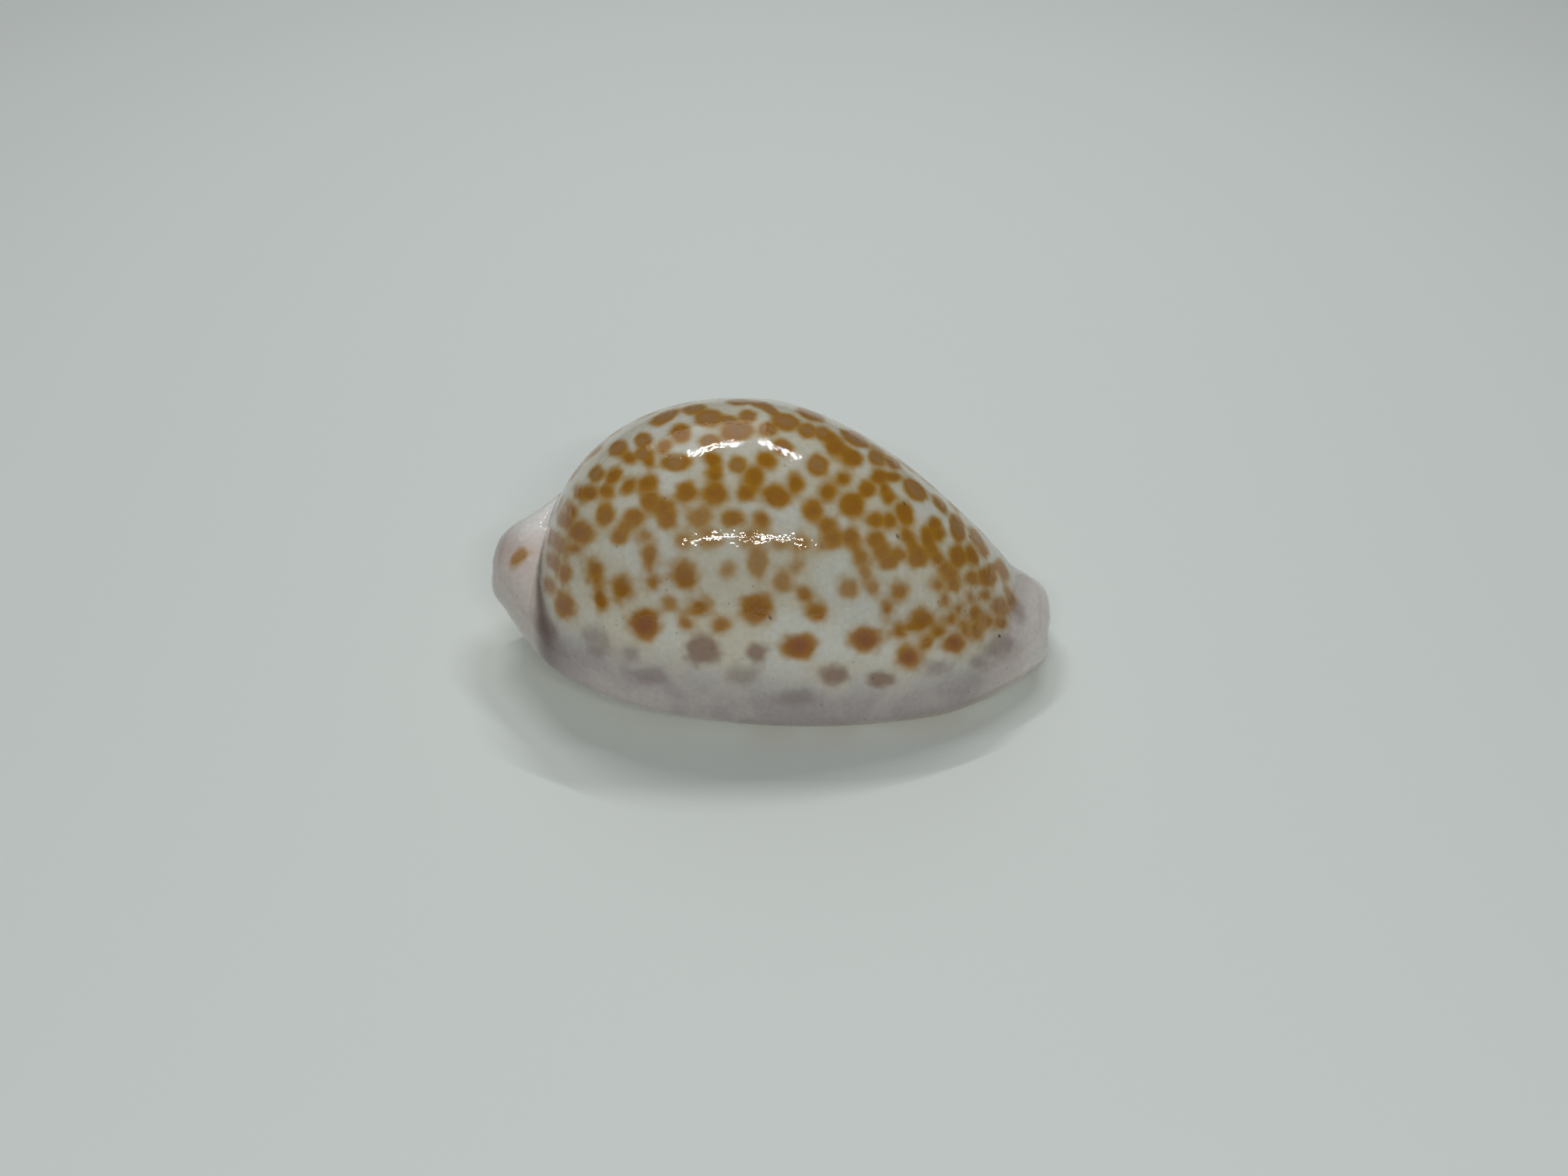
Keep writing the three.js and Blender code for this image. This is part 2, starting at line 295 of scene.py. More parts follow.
def buildShell():
    f = shellForm
    columns = 2 * (f["wallColumns"] + f["lipColumns"] + f["baseColumns"]) + f["backColumns"]
    bm = bmesh.new()
    bmesh.ops.create_uvsphere(bm, u_segments=columns, v_segments=f["rows"], radius=1)
    sections = {}
    places = {}
    for vert in bm.verts:
        row = round(math.acos(min(max(-vert.co.z, -1), 1)) / math.pi * f["rows"])
        column = round(math.atan2(vert.co.y, vert.co.x) / (2 * math.pi) * columns) % columns
        if row not in sections:
            sections[row] = sectionAt(stationX(row / f["rows"]))
        section = sections[row]
        if row in (0, f["rows"]):
            vert.co = (section["x"], section["middleY"], restedZ(section["middleZ"]))
            places[vert.index] = (3, 0.5, 1.0, section)
            continue
        stretch, share, point = sectionPoint(section, column)
        y, z = point[0], point[1]
        vert.co = (notchedX(section, y, z), y, restedZ(z))
        places[vert.index] = (stretch, share, point[2] if stretch == 3 else 0.0, section)
    return bm, places


print("shell: shaping the surface")
bm, places = buildShell()
low = [min(v.co[i] for v in bm.verts) for i in range(3)]
high = [max(v.co[i] for v in bm.verts) for i in range(3)]
centred = Vector((-(low[0] + high[0]) / 2, -(low[1] + high[1]) / 2, -low[2]))
bmesh.ops.translate(bm, vec=centred, verts=bm.verts)
bmesh.ops.recalc_face_normals(bm, faces=bm.faces)
surface = BVHTree.FromBMesh(bm)  # still in millimetres, for finding where a spot lies
bmesh.ops.scale(bm, vec=(mm, mm, mm), verts=bm.verts)
for face in bm.faces:
    face.smooth = True
mesh = bpy.data.meshes.new("shellSurface")
bm.to_mesh(mesh)
bm.free()
shell = bpy.data.objects.new("shell_enamel", mesh)
bpy.context.collection.objects.link(shell)
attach(shell, "root")
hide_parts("shell")

# the camera, matched to the photo's outline of the shell
cameraView = {
    "elevation": 38.33, "turn": 5.34, "distance": 42.2, "focalPixels": 2038,
    "imageWidth": 2016, "imageHeight": 1512, "targetX": 0.345, "targetY": -0.187, "targetZ": 1.913,
}


def cameraPlace():
    # where the camera stands, in millimetres, and how it is turned
    c = cameraView
    up = math.radians(c["elevation"])
    turn = math.radians(c["turn"])
    away = Vector((math.sin(turn) * math.cos(up), -math.cos(turn) * math.cos(up), math.sin(up)))
    aimX = c["targetX"] * math.cos(turn)
    aimY = c["targetX"] * math.sin(turn) + c["targetY"]
    return Vector((aimX, aimY, c["targetZ"])) + away * c["distance"], (-away).to_track_quat("-Z", "Y")


def makeCamera():
    c = cameraView
    place, turned = cameraPlace()
    data = bpy.data.cameras.new("camera")
    data.sensor_width = 36
    data.lens = c["focalPixels"] / c["imageWidth"] * data.sensor_width
    data.clip_start = 0.001
    camera = bpy.data.objects.new("camera", data)
    camera.location = place * mm
    camera.rotation_euler = turned.to_euler()
    bpy.context.collection.objects.link(camera)
    bpy.context.scene.camera = camera


makeCamera()
print("camera: placed")

# the spots: each kind has its look and its places. A place is read off the photo, in
# its pixels: across, down, half length, half width, and the tilt of the length in degrees.
# grey is how milky the middle is and lift moves that middle toward the top of the back;
# soft is half the width of the blurred edge in millimetres
spotKinds = {
    "crest": {
        "strength": 0.97, "dark": 0.45, "grey": 0.4, "mauve": 0.0, "lift": 0.0, "soft": 0.09,
        "places": (
            (855, 535, 20, 7, -25), (827, 566, 11, 10, 0), (794, 576, 13, 9, -35), (892, 525, 15, 6, -8),
            (911, 537, 19, 11, 0), (937, 541, 14, 7, 10), (961, 535, 11, 8, 0), (948, 554, 22, 12, -8),
            (987, 552, 12, 9, 0), (1010, 541, 18, 11, 12), (990, 527, 13, 5, 30), (951, 516, 17, 4, 0),
            (976, 519, 14, 4, 8), (1043, 532, 18, 6, 20), (1038, 553, 12, 9, 15), (1057, 556, 10, 9, 20),
            (1006, 574, 13, 10, 10), (912, 567, 14, 9, 0), (1100, 563, 20, 8, 28), (1127, 589, 12, 8, 38),
            (1148, 594, 12, 6, 42), (1128, 577, 12, 3, 35), (1176, 629, 19, 10, 42), (1209, 648, 13, 5, 50),
            (1231, 678, 19, 9, 76), (1256, 692, 16, 6, 60), (1051, 597, 14, 14, 0), (948, 598, 11, 11, 0),
            (868, 594, 19, 11, 0), (826, 584, 12, 8, 0), (766, 609, 11, 9, -60),
        ),
    },
    "upper": {
        "strength": 1.0, "dark": 0.5, "grey": 0.05, "mauve": 0.0, "lift": 0.05, "soft": 0.105,
        "places": (
            (874, 556, 13, 12, 0), (854, 573, 10, 8, -40), (809, 589, 10, 8, 10), (834, 594, 9, 8, 40),
            (788, 612, 14, 8, -52), (779, 631, 9, 9, 0), (808, 624, 12, 9, -50), (832, 622, 14, 11, -10),
            (835, 644, 12, 14, 0), (852, 653, 14, 13, 0), (858, 667, 13, 14, 0), (883, 633, 14, 13, -20),
            (778, 663, 12, 15, 15), (815, 665, 13, 12, -45), (796, 689, 12, 11, 0), (805, 677, 9, 8, -45),
            (916, 591, 11, 11, 0), (919, 611, 10, 12, 0), (920, 634, 16, 15, 0), (970, 613, 13, 14, 0),
            (986, 592, 13, 10, 20), (959, 634, 12, 11, -10), (998, 638, 19, 15, 5), (1023, 621, 12, 13, 0),
            (1045, 656, 12, 13, 0), (1064, 633, 11, 12, 0), (1066, 562, 11, 8, 30), (1074, 574, 13, 12, 30),
            (1085, 580, 9, 8, 30), (1096, 588, 14, 11, 25), (1131, 613, 12, 10, 0), (1148, 613, 12, 6, 5),
            (1138, 628, 7, 8, 0), (1143, 640, 8, 8, 0), (1084, 615, 10, 10, 0), (1115, 630, 11, 11, 0),
            (1096, 649, 17, 15, 40), (1163, 659, 17, 11, 65), (1126, 669, 10, 10, 0), (1144, 670, 9, 10, 0),
            (1201, 674, 10, 9, 70), (1207, 686, 8, 9, 0), (1193, 692, 14, 9, 75), (1199, 706, 9, 8, 60),
            (1206, 719, 10, 9, 60), (1215, 731, 9, 9, 60), (942, 667, 14, 13, 0), (980, 668, 11, 12, 0),
            (1064, 676, 11, 12, 0), (1071, 692, 13, 12, 20), (1094, 690, 12, 13, 60), (1107, 716, 9, 9, 0),
            (1100, 703, 6, 8, 0), (1125, 694, 12, 12, 0), (1133, 708, 12, 11, 0), (1143, 722, 13, 11, -10),
            (1156, 713, 9, 8, 0), (1167, 690, 12, 8, 60), (1173, 703, 8, 8, 60), (1180, 716, 13, 14, 0),
            (1232, 716, 15, 11, 75), (1250, 714, 14, 8, 62), (1264, 708, 9, 6, 65), (1249, 743, 10, 8, 65),
            (1271, 741, 12, 13, 0), (1279, 729, 6, 8, 70), (1289, 733, 14, 6, 68), (1222, 738, 10, 9, 60),
            (1226, 751, 11, 8, 80),
        ),
    },
    "flank": {
        "strength": 1.0, "dark": 0.7, "grey": 0.1, "mauve": 0.0, "lift": 0.42, "soft": 0.16,
        "places": (
            (745, 684, 17, 15, 20), (725, 668, 13, 10, 60), (710, 692, 13, 8, 65), (712, 722, 13, 9, 70),
            (725, 738, 13, 8, 80), (725, 778, 18, 13, 75), (765, 732, 13, 12, 80), (771, 769, 19, 9, 80),
            (766, 748, 9, 7, 80), (800, 756, 18, 13, 85), (835, 714, 15, 10, 80), (841, 749, 11, 9, 80),
            (837, 733, 8, 5, 80), (880, 741, 20, 17, 75), (901, 780, 13, 13, 0),
            (881, 802, 10, 10, 0), (927, 803, 12, 10, -30), (973, 783, 22, 21, 20),
            (1050, 787, 15, 12, 55), (1034, 764, 13, 10, 60), (1157, 811, 11, 9, 80),
            (1173, 806, 8, 6, -30), (1185, 797, 17, 15, -30), (1192, 828, 11, 8, -40),
            (1207, 812, 10, 9, -40), (1222, 796, 10, 8, -60), (1233, 783, 9, 7, -60),
            (1157, 759, 11, 11, 0), (1140, 784, 12, 9, 80), (1254, 789, 13, 9, 80), (1255, 811, 12, 9, 80),
            (1241, 812, 9, 7, 90), (1285, 779, 14, 12, 80), (1286, 801, 9, 9, 0), (1299, 770, 14, 6, 70),
            (1214, 771, 9, 8, 80), (1205, 752, 8, 7, 80), (1248, 769, 10, 7, 80), (1268, 765, 8, 8, 0),
            (1270, 799, 9, 9, 0), (757, 634, 12, 10, 0), (743, 632, 10, 6, 80), (733, 655, 12, 7, 70),
            (720, 702, 14, 8, 80), (740, 706, 9, 7, 0), (706, 752, 12, 7, 80),
        ),
    },
    "ember": {
        "strength": 1.0, "dark": 1.0, "grey": 0.05, "mauve": 0.0, "lift": 0.42, "soft": 0.16,
        "places": (
            (829, 803, 22, 20, 0), (1027, 831, 23, 17, 0), (1113, 822, 22, 17, 5), (1168, 845, 17, 15, -20),
            (1227, 827, 15, 14, 0),
        ),
    },
    "veiled": {
        "strength": 0.88, "dark": 0.4, "grey": 0.08, "mauve": 0.0, "lift": 0.2, "soft": 0.14,
        "places": (
            (829, 689, 9, 9, 0), (900, 664, 14, 13, 0), (878, 696, 11, 9, 0), (914, 691, 13, 13, 0),
            (966, 691, 18, 11, 0), (1003, 700, 11, 6, 0), (1029, 698, 10, 9, 0), (937, 731, 10, 9, 80),
            (974, 724, 24, 12, 85), (1024, 728, 10, 9, -50), (1006, 748, 13, 12, 80), (860, 776, 10, 9, 0),
            (1090, 757, 14, 12, 80), (1122, 755, 10, 8, 80), (1112, 736, 12, 7, 80), (1056, 702, 8, 8, 0),
            (1262, 800, 12, 7, 80), (667, 716, 15, 7, -50),
        ),
    },
    "deep": {
        "strength": 0.9, "dark": 0.5, "grey": 0.0, "mauve": 0.75, "lift": 0.1, "soft": 0.16,
        "places": (
            (902, 836, 22, 18, 0), (973, 839, 12, 12, 0), (1072, 868, 17, 12, 0), (1132, 873, 15, 10, 0),
        ),
    },
    "sunk": {
        "strength": 0.55, "dark": 0.0, "grey": 0.0, "mauve": 1.0, "lift": 0.0, "soft": 0.2,
        "places": (
            (762, 818, 14, 12, 40), (772, 834, 12, 9, 0), (810, 842, 11, 10, 0), (955, 868, 19, 12, 0),
            (1204, 860, 15, 9, 0), (836, 868, 23, 10, 5), (1255, 850, 11, 7, 0), (1280, 835, 14, 9, 0),
            (1022, 897, 28, 9, 0), (700, 806, 16, 8, 50), (1288, 827, 12, 9, 20),
            (1310, 786, 13, 7, 65),
        ),
    },
}
# tiny black pits in the glaze, at photo pixels
pitPlaces = ((1162, 648), (1154, 691), (1247, 690), (1285, 818), (990, 795))
pitRadius = 0.045

# what isn't placed by the photo: the far side and the gaps
scatter = {
    "seed": 12, "tries": 6000, "gap": 0.16, "smallRadius": 0.2, "largeRadius": 0.44, "facing": 0.16,
    "fewLarge": 1.4, "longest": 1.35, "start": 0.1, "end": 0.87,
    "crestReach": 0.18, "upperReach": 0.3, "flankReach": 0.34,
    "crestShare": 0.75, "upperShare": 0.7, "flankShare": 0.75, "deepShare": 0.5,
}


# how marks are drawn: merge is lower where neighbours run together more readily, and spread
# allows for a spot being read to the middle of its blurred edge, a little inside its colour
drawing = {"merge": 1.7, "spread": 1.05, "farthest": 0.75, "leastSlope": 0.02, "fieldLimit": 4}


def pixelRay(across, down):
    c = cameraView
    place, turned = cameraPlace()
    toward = Vector((across - c["imageWidth"] / 2, c["imageHeight"] / 2 - down, -c["focalPixels"]))
    return place, (turned @ toward).normalized()


def castPixel(across, down):
    place, toward = pixelRay(across, down)
    point, normal, _, _ = surface.ray_cast(place, toward)
    return point, normal


def onPlane(point, normal, across, down):
    # where a pixel's ray meets the plane that touches the shell at a spot's centre
    farthest = drawing["farthest"]
    place, toward = pixelRay(across, down)
    slope = toward.dot(normal)
    edgeOn = abs(slope) <= drawing["leastSlope"]
    reach = 0 if edgeOn else (point - place).dot(normal) / slope
    offset = place + toward * reach - point
    if edgeOn:
        offset = normal.cross(toward) * farthest
    return offset if offset.length < farthest else offset.normalized() * farthest


def spotAt(point, normal, alongAxis, acrossAxis, look):
    # axes whose product with an offset gives the offset's share of each radius
    alongDual = acrossAxis.cross(normal)
    acrossDual = alongAxis.cross(normal)
    alongDual = alongDual / alongDual.dot(alongAxis)
    acrossDual = acrossDual / acrossDual.dot(acrossAxis)
    size = math.sqrt(alongAxis.length * acrossAxis.length)
    longest = max(alongAxis.length, acrossAxis.length)
    return {"point": point, "along": alongDual, "across": acrossDual, "size": size,
            "reach": longest * (1 + 3 * look["soft"] / size), "look": look}


def placedSpots():
    spots = []
    spread = drawing["spread"]
    for look in spotKinds.values():
        for across, down, halfLong, halfWide, tilt in look["places"]:
            point, normal = castPixel(across, down)
            if point is None:
                print("spots: none under", across, down)
                continue
            turn = math.radians(tilt)
            endX = across + halfLong * math.cos(turn)
            endY = down + halfLong * math.sin(turn)
            sideX = across - halfWide * math.sin(turn)
            sideY = down + halfWide * math.cos(turn)
            alongAxis = onPlane(point, normal, endX, endY)
            acrossAxis = onPlane(point, normal, sideX, sideY)
            spots.append(spotAt(point, normal, alongAxis * spread, acrossAxis * spread, look))
    return spots


def scatteredSpots(points, normals, known):
    # round and oval spots over the side of the back that the photo doesn't show
    random.seed(scatter["seed"])
    place, _ = cameraPlace()
    hidden = []
    for index, point in enumerate(points):
        stretch, share, ledge, section = places[index]
        onEnd = ledge > -0.12 and section["endShare"] > 0.6
        onBack = stretch == 3 and scatter["start"] < share < scatter["end"]
        if onBack and not onEnd and normals[index].dot((place - point).normalized()) < scatter["facing"]:
            hidden.append(index)
    taken = [(spot["point"], spot["size"]) for spot in known]
    spots = []
    for _ in range(scatter["tries"]):
        index = random.choice(hidden)
        size = mixed(scatter["smallRadius"], scatter["largeRadius"], random.random() ** scatter["fewLarge"])
        stretched = mixed(1, scatter["longest"], random.random())
        turn = random.random() * math.pi
        chance = random.random()
        fromCrest = abs(places[index][1] - 0.5)
        centre = points[index]
        if any((centre - other).length < size + otherSize + scatter["gap"] for other, otherSize in taken):
            continue
        if fromCrest < scatter["crestReach"]:
            kind = "crest" if chance < scatter["crestShare"] else "upper"
        elif fromCrest < scatter["upperReach"]:
            kind = "upper" if chance < scatter["upperShare"] else "veiled"
        elif fromCrest <= scatter["flankReach"]:
            kind = "flank" if chance < scatter["flankShare"] else "deep"
        else:
            kind = "deep" if chance < scatter["deepShare"] else "sunk"
        normal = normals[index]
        alongAxis = normal.orthogonal().normalized()
        acrossAxis = normal.cross(alongAxis)
        swung = alongAxis * math.cos(turn) + acrossAxis * math.sin(turn)
        crossed = acrossAxis * math.cos(turn) - alongAxis * math.sin(turn)
        spots.append(spotAt(centre, normal, swung * size * stretched, crossed * size, spotKinds[kind]))
        taken.append((centre, size * math.sqrt(stretched)))
    return spots


def paintSpots(points, normals, tree):
    # field is 1 well inside a spot, 0 at its edge and -1 well outside; the rest are the
    # looks of the spots around a point, each counted by how much of the spot is there
    known = placedSpots()
    spots = known + scatteredSpots(points, normals, known)
    print("spots:", len(known), "placed,", len(spots) - len(known), "scattered")
    count = len(points)
    names = ("strength", "dark", "grey", "mauve")
    total = [1e-9] * count
    sums = {name: [0.0] * count for name in names}
    toTop = Vector((0, 0, 1))
    merge = drawing["merge"]
    limit = drawing["fieldLimit"]
    for spot in spots:
        look = spot["look"]
        middle = toTop * look["lift"] * spot["size"]
        for place, index, _ in tree.find_range(spot["point"], spot["reach"]):
            offset = place - spot["point"]
            share = math.hypot(offset.dot(spot["along"]), offset.dot(spot["across"]))
            inside = (1 - share) * spot["size"] / look["soft"]
            if inside < -limit:
                continue
            fromMiddle = (offset - middle).length / spot["size"]
            core = 1 - smoothStep(0.35, 0.95, fromMiddle)
            weight = math.exp(merge * inside)
            total[index] += weight
            sums["strength"][index] += weight * look["strength"]
            sums["dark"][index] += weight * look["dark"] * smoothStep(-0.6, 2.2, inside)
            sums["grey"][index] += weight * look["grey"] * core
            sums["mauve"][index] += weight * look["mauve"]
    values = {"spotEdge": [max(math.log(t) / merge, -limit) for t in total]}
    for name in names:
        values["spot" + name.title()] = [s / t for s, t in zip(sums[name], total)]
    return values


# where each change of the glaze, and each band of painted shade (the fold and the hollow behind the slit),
# starts and ends, as shares of a stretch, of the way to an end, or as millimetres that the margin stands out
# past the hump
zones = {
    "base": (0.05, 0.4), "endLedge": (-0.3, 0.2), "endReach": (0.68, 0.84),
    "callusBack": (0.25, 0.6), "callusFront": (0.2, 0.6), "callusFrontLeast": 0.35,
    "callusFrontMore": 0.3, "callusOnBase": 0.9,
    "lilacStart": 0.03, "lilacOuter": 0.165, "lilacInner": 0.13,
    "lilacWander": 0.02, "lilacWanderPerMm": 0.7,
    "foldLedge": 0.3, "foldWidth": 0.5, "foldReach": (0.62, 0.74), "foldBack": 0.85, "foldFront": 0.25,
    "inside": (0.7, 1), "pitInner": 0.5, "pitOuter": 1.3, "veilMiddle": 0.3, "veilWidth": 0.07,
    "warmLeast": 0.2, "warm": (0.2, 0.4),
}


def paintZones(points):
    # where the glaze changes: the pale ends, the lilac border and the base; and painted shade in the fold
    # between the hump and the ends and in the hollow behind the slit
    z = zones
    names = ("base", "ends", "callus", "lilac", "creaseShade", "inside", "pit", "veil", "warm")
    values = {name: [] for name in names}
    pits = [castPixel(across, down)[0] for across, down in pitPlaces]
    for index, point in enumerate(points):
        stretch, share, ledge, section = places[index]
        onBack = stretch == 3
        if stretch in (2, 4):
            side = "outer" if stretch == 2 else "inner"
            ledge = section[side] - section["hump" + side.title()]
        fromMargin = min(share, 1 - share) if onBack else 0
        toEnd = section["endShare"]
        backHalf = section["x"] < 0
        border = fromMargin + noise.noise(point * z["lilacWanderPerMm"]) * z["lilacWander"]
        underMargin = {2: 1 - share, 4: share}.get(stretch, 0 if onBack else 1)
        values["base"].append(smoothStep(*z["base"], underMargin))
        values["ends"].append(smoothStep(*z["endLedge"], ledge) * smoothStep(*z["endReach"], toEnd))
        toInner = smoothStep(*z["callusBack"], share)
        if not backHalf:
            toInner = z["callusFrontLeast"] + z["callusFrontMore"] * smoothStep(*z["callusFront"], share)
        values["callus"].append(toInner if onBack else (z["callusOnBase"] if stretch == 4 else 0))
        reach = z["lilacOuter"] if share < 0.5 else z["lilacInner"]
        values["lilac"].append(1 - smoothStep(z["lilacStart"], reach, border) if onBack else 1)
        # painted shade: a darker band along the fold where the hump meets the end lobes
        fold = math.exp(-((ledge - z["foldLedge"]) / z["foldWidth"]) ** 2)
        fold *= z["foldBack"] if backHalf else z["foldFront"]
        values["creaseShade"].append(fold * smoothStep(*z["foldReach"], toEnd))
        # painted shade: the walls of the hollow behind the slit turn dark brown, fading out toward the lip's
        # edge
        depth = share if stretch == 0 else 1 - share
        values["inside"].append(1 - smoothStep(*z["inside"], depth) if stretch in (0, 6) else 0)
        nearest = min((point - pit).length for pit in pits)
        values["pit"].append(1 - smoothStep(pitRadius * z["pitInner"], pitRadius * z["pitOuter"], nearest))
        veiled = math.exp(-((share - z["veilMiddle"]) / z["veilWidth"]) ** 2)
        values["veil"].append(veiled if onBack else 0)
        warmed = smoothStep(*z["warm"], fromMargin)
        values["warm"].append(z["warmLeast"] + (1 - z["warmLeast"]) * warmed)
    return values


def paintShell():
    points = [v.co / mm for v in mesh.vertices]
    normals = [v.normal.copy() for v in mesh.vertices]
    tree = kdtree.KDTree(len(points))
    for index, point in enumerate(points):
        tree.insert(point, index)
    tree.balance()
    values = paintSpots(points, normals, tree)
    values.update(paintZones(points))
    for name, data in values.items():
        attribute = mesh.attributes.new(name, "FLOAT", "POINT")
        attribute.data.foreach_set("value", data)


paintShell()
print("shell: marked")

# cowrie enamel: aragonite laid down by the mantle in thin polished layers, so it is smooth
# and glossy like glazed china, slightly see-through, with milky layers over old pigment
enamelLook = {
    "cream": "CFC9B6", "milky": "D2D1C6", "halo": "AE9142", "rim": "AB7A06", "dark": "8C4A00",
    # the crease colour is painted shade for the fold between the hump and the ends
    "grey": "A08661", "mauve": "826F6A", "lilac": "B9B1AC", "lilacDeep": "A59D9C", "creaseShade": "6C5B54",
    "ends": "D0C6BF", "endsWarm": "CAB8B0", "callus": "ECEAE7",
    # the inside colour is painted shade for the hollow behind the slit
    "base": "DAD5C4", "baseWarm": "C9B48F", "inside": "6B4A2E",
    "pit": "1C140C",
    "polish": 0.04, "ior": 1.55,
    "wobbleMm": 0.38, "patchMm": 1.7, "mottleMm": 0.14, "pinholeMm": 0.42,
    "hammerMm": 0.2, "hammerHeightMm": 0.01, "waveMm": 0.9, "waveHeightMm": 0.04, "waveStrength": 0.25,
    "haloCover": 0.5, "veilCover": 0.08, "glow": 0.05, "glowMm": 0.3,
}


def hexToLinear(code):
    values = [int(code[i:i + 2], 16) / 255 for i in (0, 2, 4)]
    return tuple(v / 12.92 if v <= 0.04045 else ((v + 0.055) / 1.055) ** 2.4 for v in values) + (1,)


def perMetre(sizeInMm):
    return 1 / (sizeInMm * mm)


def addNode(tree, kind, settings=None, links=None):
    node = tree.nodes.new(kind)
    for name, value in (settings or {}).items():
        if isinstance(name, int) or name in node.inputs:
            node.inputs[name].default_value = value
        else:
            setattr(node, name, value)
    for name, source in (links or {}).items():
        tree.links.new(source, node.inputs[name])
    return node


def makeEnamel():
    look = enamelLook
    colour = {name: hexToLinear(code) for name, code in look.items() if isinstance(code, str)}
    material = bpy.data.materials.new("cowrie enamel, mantle-polished")
    material.use_nodes = True
    tree = material.node_tree
    tree.nodes.clear()
    place = addNode(tree, "ShaderNodeTexCoord").outputs["Object"]
    marks = {}
    for name in ("spotEdge", "spotStrength", "spotDark", "spotGrey", "spotMauve",
                 "base", "ends", "callus", "lilac", "creaseShade", "inside", "pit", "veil", "warm"):
        marks[name] = addNode(tree, "ShaderNodeAttribute", {"attribute_name": name}).outputs["Fac"]

    # noises, each at its own size
    wobble = addNode(tree, "ShaderNodeTexNoise", {"Scale": perMetre(look["wobbleMm"]), "Detail": 1.0},
                     {"Vector": place}).outputs["Fac"]
    patch = addNode(tree, "ShaderNodeTexNoise", {"Scale": perMetre(look["patchMm"]), "Detail": 2.0},
                    {"Vector": place}).outputs["Fac"]
    mottle = addNode(tree, "ShaderNodeTexNoise", {"Scale": perMetre(look["mottleMm"]), "Detail": 4.0},
                     {"Vector": place}).outputs["Fac"]

    # the spots' outlines: the painted edge, moved in and out a little
    shifted = addNode(tree, "ShaderNodeMath", {"operation": "MULTIPLY_ADD", 1: 2.0, 2: -1.0}, {0: wobble})
    edge = addNode(tree, "ShaderNodeMath", {"operation": "ADD"},
                   {0: shifted.outputs[0], 1: marks["spotEdge"]})
    cover = addNode(tree, "ShaderNodeMapRange", {
        "interpolation_type": "SMOOTHSTEP", "From Min": -1.0, "From Max": 1.0,
    }, {"Value": edge.outputs[0]})
    shown = addNode(tree, "ShaderNodeMath", {"operation": "MULTIPLY"},
                    {0: cover.outputs[0], 1: marks["spotStrength"]})
    halo = addNode(tree, "ShaderNodeMapRange", {
        "interpolation_type": "SMOOTHSTEP", "From Min": -1.9, "From Max": 0.2, "To Max": look["haloCover"],
    }, {"Value": edge.outputs[0]})
    warmed = addNode(tree, "ShaderNodeMath", {"operation": "MULTIPLY"},
                     {0: halo.outputs[0], 1: marks["warm"]})

    # the ground between them: cream, milky in patches, yellower close to a spot
    milky = addNode(tree, "ShaderNodeMapRange", {
        "interpolation_type": "SMOOTHSTEP", "From Min": 0.4, "From Max": 0.6,
    }, {"Value": patch})
    ground = addNode(tree, "ShaderNodeMix", {"data_type": "RGBA", 6: colour["cream"], 7: colour["milky"]},
                     {0: milky.outputs[0]})
    ground = addNode(tree, "ShaderNodeMix", {"data_type": "RGBA", 7: colour["halo"]},
                     {0: warmed.outputs[0], 6: ground.outputs[2]})

    # the lilac-grey border along the margin, which the spots sink into
    lilac = addNode(tree, "ShaderNodeMix", {"data_type": "RGBA", 6: colour["lilac"], 7: colour["lilacDeep"]},
                    {0: milky.outputs[0]})
    border = addNode(tree, "ShaderNodeMix", {"data_type": "RGBA"},
                     {0: marks["lilac"], 6: ground.outputs[2], 7: lilac.outputs[2]})

    # the pale blunt ends, with a whiter callus on the inner side
    ends = addNode(tree, "ShaderNodeMix", {"data_type": "RGBA", 6: colour["ends"], 7: colour["endsWarm"]},
                   {0: milky.outputs[0]})
    ends = addNode(tree, "ShaderNodeMix", {"data_type": "RGBA", 7: colour["callus"]},
                   {0: marks["callus"], 6: ends.outputs[2]})
    border = addNode(tree, "ShaderNodeMix", {"data_type": "RGBA"},
                     {0: marks["ends"], 6: border.outputs[2], 7: ends.outputs[2]})

    # the spots' own colour: orange-brown rim, darker or milky middle, mauve where sunk deep
    inner = addNode(tree, "ShaderNodeMix", {"data_type": "RGBA", 6: colour["rim"], 7: colour["dark"]},
                    {0: marks["spotDark"]})
    inner = addNode(tree, "ShaderNodeMix", {"data_type": "RGBA", 7: colour["grey"]},
                    {0: marks["spotGrey"], 6: inner.outputs[2]})
    inner = addNode(tree, "ShaderNodeMix", {"data_type": "RGBA", 7: colour["mauve"]},
                    {0: marks["spotMauve"], 6: inner.outputs[2]})
    back = addNode(tree, "ShaderNodeMix", {"data_type": "RGBA"},
                   {0: shown.outputs[0], 6: border.outputs[2], 7: inner.outputs[2]})

    # the milky veil over them, then painted shade darkening the fold between the hump and the ends
    veil = addNode(tree, "ShaderNodeMath", {"operation": "MULTIPLY", 1: look["veilCover"]},
                   {0: marks["veil"]})
    back = addNode(tree, "ShaderNodeMix", {"data_type": "RGBA", 7: colour["milky"]},
                   {0: veil.outputs[0], 6: back.outputs[2]})
    # painted shade darkening the fold between the hump and the ends
    back = addNode(tree, "ShaderNodeMix", {"data_type": "RGBA", 7: colour["creaseShade"]},
                   {0: marks["creaseShade"], 6: back.outputs[2]})
    base = addNode(tree, "ShaderNodeMix", {"data_type": "RGBA", 6: colour["base"], 7: colour["baseWarm"]},
                   {0: milky.outputs[0]})
    whole = addNode(tree, "ShaderNodeMix", {"data_type": "RGBA"},
                    {0: marks["base"], 6: back.outputs[2], 7: base.outputs[2]})
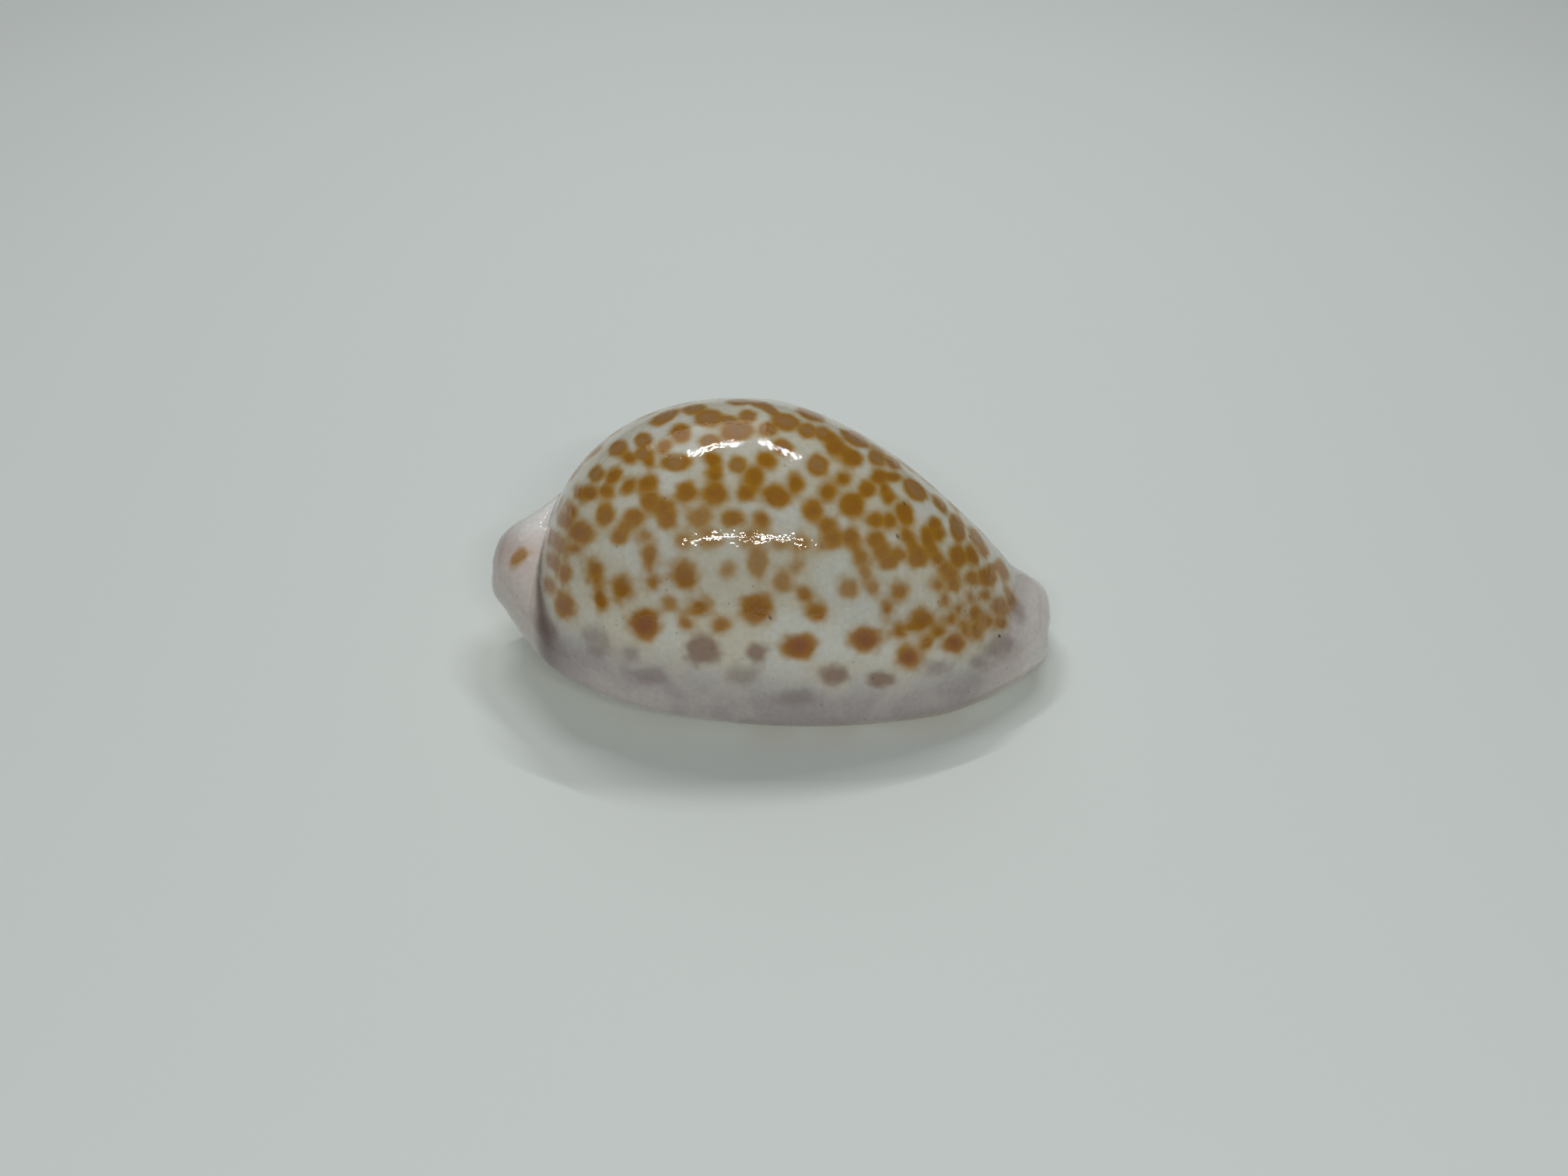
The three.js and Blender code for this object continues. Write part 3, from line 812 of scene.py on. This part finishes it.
    # painted shade: dark brown over the walls of the hollow behind the slit
    whole = addNode(tree, "ShaderNodeMix", {"data_type": "RGBA", 7: colour["inside"]},
                    {0: marks["inside"], 6: whole.outputs[2]})
    whole = addNode(tree, "ShaderNodeMix", {"data_type": "RGBA", 7: colour["pit"]},
                    {0: marks["pit"], 6: whole.outputs[2]})

    # fine mottling, and pinholes drawn a little larger than the real 0.02 mm so they show
    tone = addNode(tree, "ShaderNodeMapRange",
                   {"From Min": 0.3, "From Max": 0.7, "To Min": 0.93, "To Max": 1.05},
                   {"Value": mottle})
    cells = addNode(tree, "ShaderNodeTexVoronoi", {"Scale": perMetre(look["pinholeMm"])}, {"Vector": place})
    pinhole = addNode(tree, "ShaderNodeMapRange", {
        "interpolation_type": "SMOOTHSTEP", "From Min": 0.04, "From Max": 0.11, "To Min": 0.72,
    }, {"Value": cells.outputs["Distance"]})
    toned = addNode(tree, "ShaderNodeMath", {"operation": "MULTIPLY"},
                    {0: tone.outputs[0], 1: pinhole.outputs[0]})
    scaled = addNode(tree, "ShaderNodeVectorMath", {"operation": "SCALE"},
                     {0: whole.outputs[2], "Scale": toned.outputs[0]})

    # the polish isn't perfect: a fine hammered grain and long faint waves break the reflections
    grain = addNode(tree, "ShaderNodeTexNoise", {"Scale": perMetre(look["hammerMm"]), "Detail": 2.0},
                    {"Vector": place})
    waves = addNode(tree, "ShaderNodeTexNoise", {"Scale": perMetre(look["waveMm"]), "Detail": 1.0},
                    {"Vector": place})
    waved = addNode(tree, "ShaderNodeBump", {
        "Strength": look["waveStrength"], "Distance": look["waveHeightMm"] * mm,
    }, {"Height": waves.outputs["Fac"]})
    bump = addNode(tree, "ShaderNodeBump", {"Strength": 1.0, "Distance": look["hammerHeightMm"] * mm},
                   {"Height": grain.outputs["Fac"], "Normal": waved.outputs["Normal"]})
    shader = addNode(tree, "ShaderNodeBsdfPrincipled", {
        "Roughness": look["polish"], "IOR": look["ior"],
        "Subsurface Weight": look["glow"], "Subsurface Scale": look["glowMm"] * mm,
    }, {"Base Color": scaled.outputs[0], "Normal": bump.outputs["Normal"]})
    addNode(tree, "ShaderNodeOutputMaterial", None, {"Surface": shader.outputs[0]})
    return material


mesh.materials.append(makeEnamel())
print("enamel: made")

# matt studio paper: pulp pressed flat and left uncoated, so it shows soft shadows and no gloss
stageLook = {
    "floorSize": 0.6, "floorColour": "E9EFEC", "floorRoughness": 0.9,
    "roomColour": "EEF5F2", "roomStrength": 0.13,
}
# slim lamps in pairs, whose reflections are the two long highlights: one pair above and a
# little behind the shell, one beyond the camera; a broad soft lamp behind lights the back.
# Places and sizes are in millimetres and power in watts
lampAim = Vector((0, 0, 3))
lamps = {
    "topLeft": {"place": (-26, 41, 96), "size": (36, 0.5), "power": 0.017},
    "topRight": {"place": (19, 48, 93), "size": (42, 0.5), "power": 0.018},
    "frontLeft": {"place": (-7, -83, 69), "size": (28, 0.7), "power": 0.0155},
    "frontRight": {"place": (28, -79, 68), "size": (34, 0.7), "power": 0.0175},
    "overhead": {"place": (-40, 110, 130), "size": (120, 90), "power": 0.028},
}


def makeStage():
    bm = bmesh.new()
    bmesh.ops.create_grid(bm, x_segments=1, y_segments=1, size=stageLook["floorSize"] / 2)
    data = bpy.data.meshes.new("floor")
    bm.to_mesh(data)
    bm.free()
    floor = bpy.data.objects.new("floor", data)
    bpy.context.collection.objects.link(floor)
    material = bpy.data.materials.new("matt studio paper")
    material.use_nodes = True
    shader = material.node_tree.nodes["Principled BSDF"]
    shader.inputs["Base Color"].default_value = hexToLinear(stageLook["floorColour"])
    shader.inputs["Roughness"].default_value = stageLook["floorRoughness"]
    data.materials.append(material)


def addLamp(name, settings):
    data = bpy.data.lights.new(name, "AREA")
    data.shape = "RECTANGLE"
    data.size = settings["size"][0] * mm
    data.size_y = settings["size"][1] * mm
    data.energy = settings["power"]
    light = bpy.data.objects.new(name, data)
    place = Vector(settings["place"])
    light.location = place * mm
    light.rotation_euler = (lampAim - place).to_track_quat("-Z", "Y").to_euler()
    bpy.context.collection.objects.link(light)


makeStage()
for name, settings in lamps.items():
    addLamp(name, settings)
world = bpy.data.worlds.new("softRoom")
world.use_nodes = True
world.node_tree.nodes["Background"].inputs["Color"].default_value = hexToLinear(stageLook["roomColour"])
world.node_tree.nodes["Background"].inputs["Strength"].default_value = stageLook["roomStrength"]
bpy.context.scene.world = world
bpy.context.scene.view_settings.view_transform = "Standard"
print("stage: lit")
